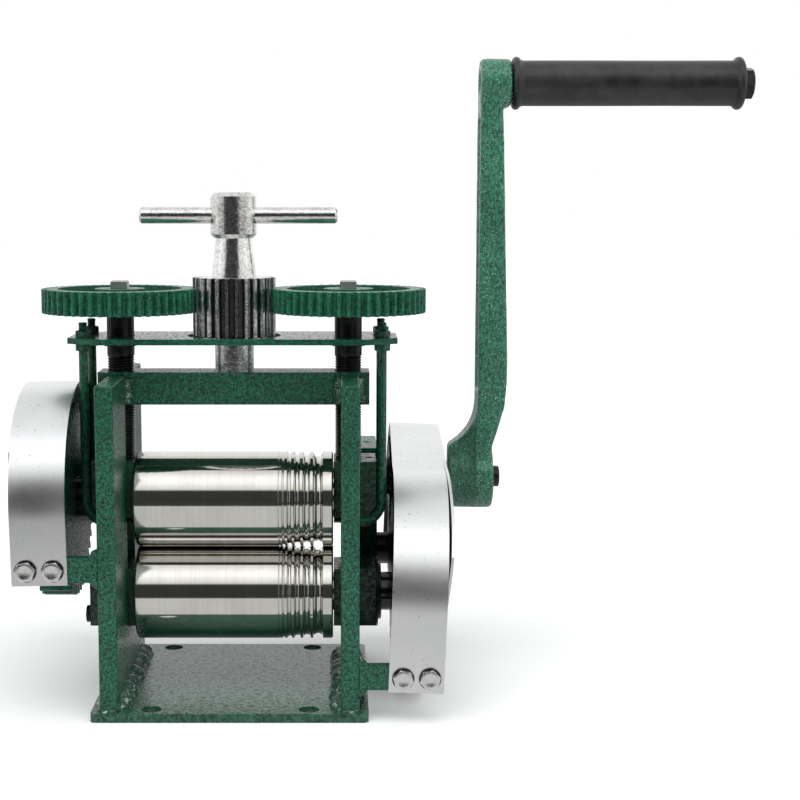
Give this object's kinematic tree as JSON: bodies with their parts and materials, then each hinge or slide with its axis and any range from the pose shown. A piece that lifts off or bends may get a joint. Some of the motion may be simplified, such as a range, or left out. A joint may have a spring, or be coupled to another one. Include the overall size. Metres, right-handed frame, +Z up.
{
  "type": "jewellers rolling mill",
  "caption": "Bench-top hand-cranked rolling mill that presses sheet and half-round wire between two geared rolls, with a T-handle that lifts the upper roll.",
  "frame": {"origin": "on the underside of the base plate, at the middle of its four bench bolt holes, midway between the cheeks and in the plane of both roll axes", "axes": "+X along the rolls to the crank side, +Y from the feeding side to the rear, +Z up"},
  "size_m": [0.4271, 0.1835, 0.3663],
  "materials": {
    "green_paint": "dark green hammered enamel with a fine cell pattern",
    "black_steel": "black oxide, slightly oily",
    "steel": "ground and polished",
    "plated": "bright plating with a mottled surface",
    "sheet": "satin sheet with light smudges",
    "bronze": "turned bearing bronze",
    "rubber": "moulded black rubber with a fine grain"
  },
  "bodies": {
    "frame": {"base_plate": "green_paint", "left_cheek": "green_paint", "right_cheek": "green_paint", "cross_bar": "green_paint", "frame_welds": "green_paint", "lower_left_block": "black_steel", "lower_right_block": "black_steel", "lower_block_screws": "black_steel", "lower_right_seal": "black_steel", "left_housing": "green_paint", "right_housing": "green_paint", "shaft_bushes": "bronze", "idler_stud": "steel", "idler_ring": "black_steel", "left_guard": "sheet", "right_guard": "sheet", "left_guard_brackets": "green_paint", "right_guard_brackets": "green_paint", "guard_bolts": "plated"},
    "carriage": {"lift_strap": "green_paint", "hook_rods": "green_paint", "rod_nuts": "green_paint", "upper_left_block": "black_steel", "upper_right_block": "black_steel"},
    "left_screw_set": {"left_screw": "black_steel", "left_screw_collar": "black_steel", "left_screw_gear": "green_paint"},
    "right_screw_set": {"right_screw": "black_steel", "right_screw_collar": "black_steel", "right_screw_gear": "green_paint"},
    "upper_bushes": {"upper_roll_bushes": "bronze"},
    "upper_roll_set": {"upper_roll": "steel", "upper_roll_gear": "green_paint", "upper_gear_key": "steel", "upper_gear_ring": "black_steel"},
    "lower_roll_set": {"lower_roll": "steel", "lower_roll_gear": "black_steel", "lower_gear_key": "steel", "lower_gear_ring": "black_steel"},
    "idler": {"idler_gear": "black_steel"},
    "t_handle": {"adjusting_pinion": "plated", "tee_bar": "plated"},
    "crank": {"cross_shaft": "steel", "left_pinion": "black_steel", "right_pinion": "black_steel", "pinion_keys": "steel", "shaft_spacers": "black_steel", "shaft_end_ring": "black_steel", "crank_arm": "green_paint", "crank_key": "steel", "crank_bolt": "black_steel", "grip_spindle": "black_steel"},
    "grip": {"grip": "rubber"}
  },
  "joints": [
    {"name": "carriage_lift", "type": "slide", "parent": "frame", "child": "carriage", "axis": [0, 0, 1], "range_m": [0, 0.007]},
    {"name": "t_handle_turn", "type": "hinge", "parent": "frame", "child": "t_handle", "pos_m": [0, 0, 0.2], "axis": [0, 0, -1], "range_deg": [0, 3231]},
    {"name": "left_screw_turn", "type": "hinge", "parent": "carriage", "child": "left_screw_set", "pos_m": [-0.0646, 0, 0.2], "axis": [0, 0, 1], "range_deg": [0, 1681]},
    {"name": "right_screw_turn", "type": "hinge", "parent": "carriage", "child": "right_screw_set", "pos_m": [0.0646, 0, 0.2], "axis": [0, 0, 1], "range_deg": [0, 1681]},
    {"name": "upper_bush_turn", "type": "hinge", "parent": "carriage", "child": "upper_bushes", "pos_m": [0, 0, 0.1105], "axis": [1, 0, 0], "range_deg": [-7.7, 0]},
    {"name": "crank_turn", "type": "hinge", "parent": "frame", "child": "crank", "pos_m": [0, 0.075, 0.1105], "axis": [1, 0, 0], "continuous": true},
    {"name": "upper_roll_turn", "type": "hinge", "parent": "upper_bushes", "child": "upper_roll_set", "pos_m": [0, 0, 0.1105], "axis": [1, 0, 0], "continuous": true},
    {"name": "lower_roll_turn", "type": "hinge", "parent": "frame", "child": "lower_roll_set", "pos_m": [0, 0, 0.0561], "axis": [1, 0, 0], "continuous": true},
    {"name": "idler_turn", "type": "hinge", "parent": "frame", "child": "idler", "pos_m": [0.1, 0.07441, 0.0655], "axis": [1, 0, 0], "continuous": true},
    {"name": "grip_turn", "type": "hinge", "parent": "crank", "child": "grip", "pos_m": [0.2, 0.075, 0.3505], "axis": [1, 0, 0], "continuous": true}
  ],
  "couplings": [
    {"joint": "t_handle_turn", "follows": "carriage_lift", "rad_per_m": 8055.4},
    {"joint": "left_screw_turn", "follows": "carriage_lift", "rad_per_m": 4188.8},
    {"joint": "right_screw_turn", "follows": "carriage_lift", "rad_per_m": 4188.8},
    {"joint": "upper_bush_turn", "follows": "carriage_lift", "rad_per_m": -19.048},
    {"joint": "upper_roll_turn", "follows": "crank_turn", "ratio": -0.42857},
    {"joint": "lower_roll_turn", "follows": "crank_turn", "ratio": 0.42857},
    {"joint": "idler_turn", "follows": "crank_turn", "ratio": -1}
  ]
}
